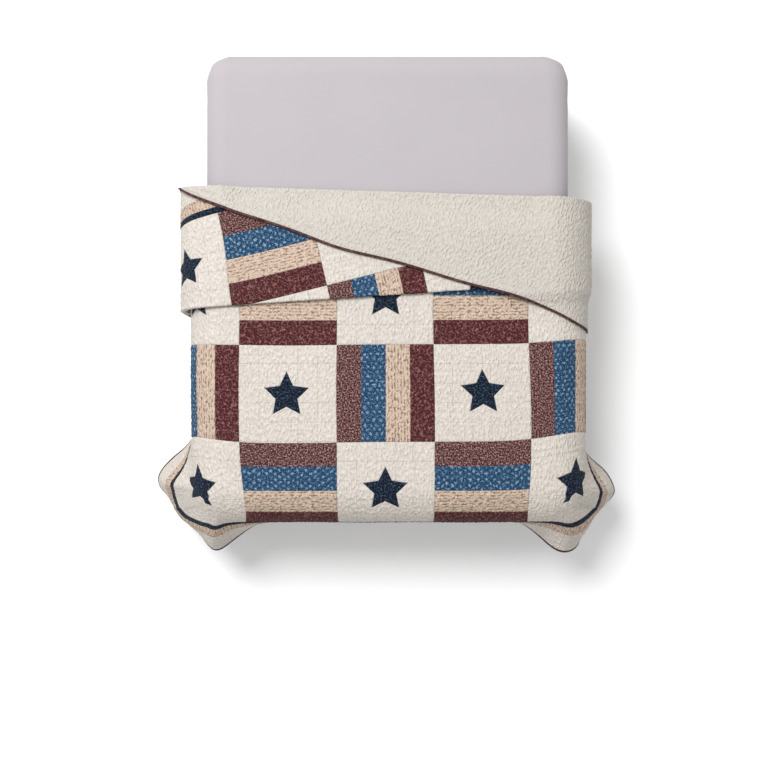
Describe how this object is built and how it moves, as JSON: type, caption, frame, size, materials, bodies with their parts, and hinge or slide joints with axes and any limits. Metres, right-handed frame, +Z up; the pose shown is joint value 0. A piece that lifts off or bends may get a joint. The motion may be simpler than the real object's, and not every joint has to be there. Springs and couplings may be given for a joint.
{
  "type": "star quilt blanket on a mattress and bed base",
  "caption": "Patchwork star quilt draped over a plain mattress and base, its head end turned back so that the pale reverse shows, with bound hems and flared foot corners.",
  "frame": {"origin": "on the floor, under the middle of the mattress", "axes": "+Z up, +Y towards the head of the bed, +X to the right as seen from above with the head at the top"},
  "size_m": [1.8342, 1.9041, 0.6592],
  "materials": {
    "quilted_cotton": "matt quilted cotton",
    "binding_cloth": "matt woven cotton",
    "mattress_sheet": "smooth cotton",
    "base_cloth": "plain woven upholstery"
  },
  "bodies": {
    "root": {"quilt": "quilted_cotton", "binding": "binding_cloth", "mattress": "mattress_sheet", "base": "base_cloth"}
  },
  "joints": []
}
